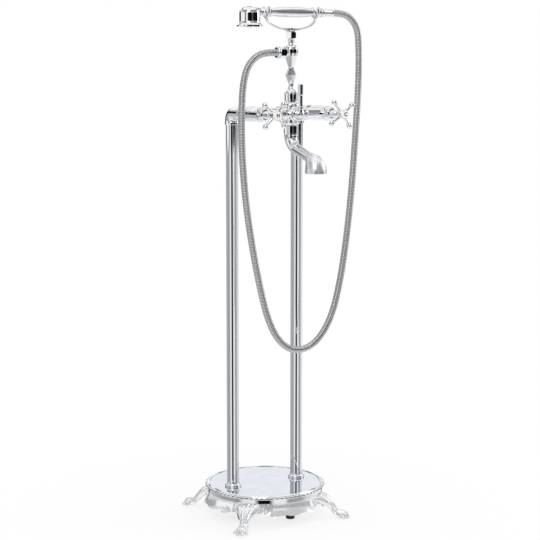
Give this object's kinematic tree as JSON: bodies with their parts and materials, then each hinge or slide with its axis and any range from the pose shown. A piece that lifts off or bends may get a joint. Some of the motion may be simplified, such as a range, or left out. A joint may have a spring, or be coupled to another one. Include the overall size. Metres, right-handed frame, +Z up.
{
  "type": "floor standing bath filler",
  "caption": "Floor standing bath filler with claw-foot base, twin supply pipes, cross handles, swivel spout, diverter lever and a hand shower in a cradle on a metal hose.",
  "frame": {"origin": "floor level, under the centre of the round base and midway between the two standpipes", "axes": "+Z up; -Y to the front, where the mixer and spout reach over the bath; +X to the cold side, along the line of the two standpipes"},
  "size_m": [0.3049, 0.3679, 1.043],
  "materials": {
    "chrome": "polished chrome plate",
    "rubber": "matt black rubber",
    "porcelain": "glazed white porcelain",
    "brass": "turned brass",
    "steel": "zinc plated steel",
    "hose_metal": "interlocked chromed metal strip",
    "aerator_plastic": "grey moulded plastic"
  },
  "bodies": {
    "stand": {"base_casting": "chrome", "base_plate": "chrome", "bonnet_cold": "chrome", "bonnet_hot": "chrome", "cartridge_cold": "brass", "cartridge_hot": "brass", "cradle_nut": "chrome", "cradle_yoke": "chrome", "diverter_cap": "chrome", "elbow_left": "chrome", "elbow_right": "chrome", "hose_outlet_nut": "chrome", "levelling_studs": "steel", "lock_nuts": "brass", "lock_washers": "steel", "mixer_body": "chrome", "pipe_collars": "chrome", "rim_ring": "chrome", "riser_column": "chrome", "riser_nut": "chrome", "rubber_feet": "rubber", "shower_hose": "hose_metal", "spout_collar": "chrome", "spout_seal": "rubber", "standpipe_left": "chrome", "standpipe_right": "chrome", "union_nuts": "chrome", "union_washers": "rubber"},
    "hot_handle_body": {"handle_hot": "chrome", "handle_screw_hot": "steel", "index_button_hot": "porcelain", "spindle_hot": "brass"},
    "cold_handle_body": {"handle_cold": "chrome", "handle_screw_cold": "steel", "index_button_cold": "porcelain", "spindle_cold": "brass"},
    "diverter_body": {"diverter_lever": "chrome", "diverter_valve": "brass"},
    "spout_body": {"spout": "chrome", "aerator": "aerator_plastic"},
    "handset_body": {"handset_handle": "chrome", "handset_head": "chrome", "spray_plate": "chrome", "spray_screw": "steel", "handset_tail": "chrome", "hose_cone_nut": "chrome"}
  },
  "joints": [
    {"name": "hot_handle", "type": "hinge", "parent": "stand", "child": "hot_handle_body", "pos_m": [-0.075, -0.177, 0.835], "axis": [0, -1, 0], "range_deg": [0, 90]},
    {"name": "cold_handle", "type": "hinge", "parent": "stand", "child": "cold_handle_body", "pos_m": [0.075, -0.177, 0.835], "axis": [0, -1, 0], "range_deg": [-90, 0]},
    {"name": "diverter_lever", "type": "hinge", "parent": "stand", "child": "diverter_body", "pos_m": [0, -0.1458, 0.835], "axis": [0, -1, 0], "range_deg": [-90, 90]},
    {"name": "spout_swivel", "type": "hinge", "parent": "stand", "child": "spout_body", "pos_m": [0, -0.108, 0.796], "axis": [0, 0, 1], "range_deg": [-60, 60]},
    {"name": "handset_lift", "type": "slide", "parent": "stand", "child": "handset_body", "axis": [0, 0, 1], "range_m": [0, 0.06], "deforming": ["shower_hose"]}
  ]
}
